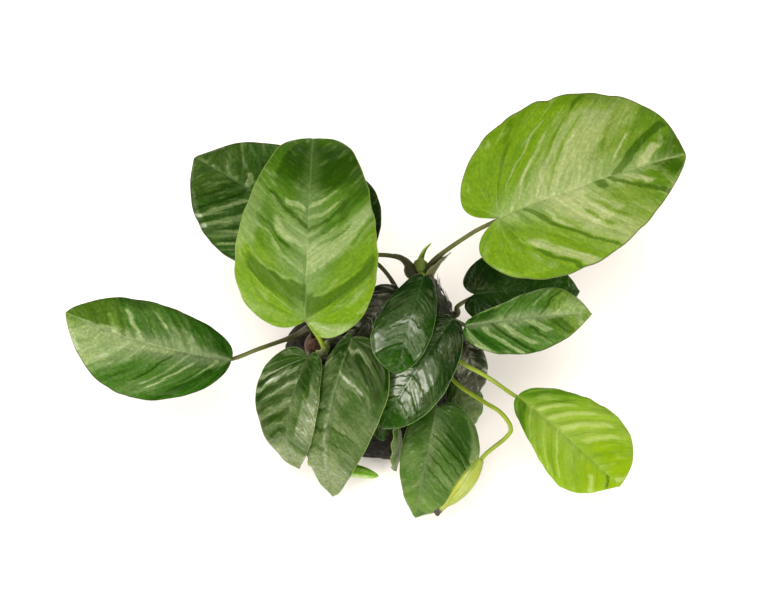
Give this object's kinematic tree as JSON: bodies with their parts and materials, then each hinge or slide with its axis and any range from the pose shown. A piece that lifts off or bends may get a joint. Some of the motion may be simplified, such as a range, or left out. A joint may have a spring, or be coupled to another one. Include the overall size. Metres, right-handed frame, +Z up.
{
  "type": "anubias nana on stone",
  "caption": "Dwarf broad-leaved water plant rooted on a dark stone: creeping rhizome, clinging roots, stalked heart-shaped leaves, a furled new leaf and a flower bud.",
  "frame": {"origin": "middle of the stone's flat underside, where the part rests", "axes": "+Z up, -Z out of the underside; +X to the right along the plant's widest spread, as it is looked at from its front, -Y; +Y to its back"},
  "size_m": [0.2095, 0.1319, 0.0917],
  "materials": {
    "stone": "rough dark lava stone, pitted, slightly damp",
    "rhizome": "olive and brown skin with ring scars",
    "root": "thin brown-green roots",
    "leaf_old": "dark green waxy leaf, finely wrinkled, glossy",
    "leaf_mid": "mid green waxy leaf, glossy",
    "leaf_bright": "fresh green waxy leaf, satin gloss",
    "leaf_young": "young yellow-green leaf, glossy",
    "stalk_old": "olive leaf stalk, satin",
    "stalk_young": "bright green leaf stalk, satin",
    "bud_hood": "yellow-green ribbed hood with a withered brown tip"
  },
  "bodies": {
    "root": {"bud_hood": "bud_hood", "bud_stalk": "stalk_young", "leaf_01_blade": "leaf_bright", "leaf_01_stalk": "stalk_old", "leaf_02_blade": "leaf_bright", "leaf_02_stalk": "stalk_young", "leaf_03_blade": "leaf_old", "leaf_03_stalk": "stalk_old", "leaf_04_blade": "leaf_old", "leaf_04_stalk": "stalk_old", "leaf_05_blade": "leaf_mid", "leaf_05_stalk": "stalk_old", "leaf_06_blade": "leaf_old", "leaf_06_stalk": "stalk_old", "leaf_07_blade": "leaf_old", "leaf_07_stalk": "stalk_old", "leaf_08_blade": "leaf_old", "leaf_08_stalk": "stalk_old", "leaf_09_blade": "leaf_old", "leaf_09_stalk": "stalk_old", "leaf_10_blade": "leaf_old", "leaf_10_stalk": "stalk_old", "leaf_11_blade": "leaf_old", "leaf_11_stalk": "stalk_old", "leaf_12_blade": "leaf_old", "leaf_12_stalk": "stalk_old", "leaf_13_blade": "leaf_mid", "leaf_13_stalk": "stalk_old", "leaf_14_blade": "leaf_old", "leaf_14_stalk": "stalk_old", "leaf_15_blade": "leaf_young", "leaf_15_stalk": "stalk_young", "leaf_16_blade": "leaf_old", "leaf_16_stalk": "stalk_old", "leaf_17_blade": "leaf_old", "leaf_17_stalk": "stalk_old", "leaf_18_blade": "leaf_old", "leaf_18_stalk": "stalk_old", "leaf_19_blade": "leaf_bright", "leaf_19_stalk": "stalk_young", "new_leaf": "stalk_young", "new_leaf_sheath": "stalk_young", "rhizome_branch": "rhizome", "rhizome_stem": "rhizome", "root_01": "root", "root_02": "root", "root_03": "root", "root_04": "root", "root_05": "root", "root_06": "root", "stone": "stone"}
  },
  "joints": []
}
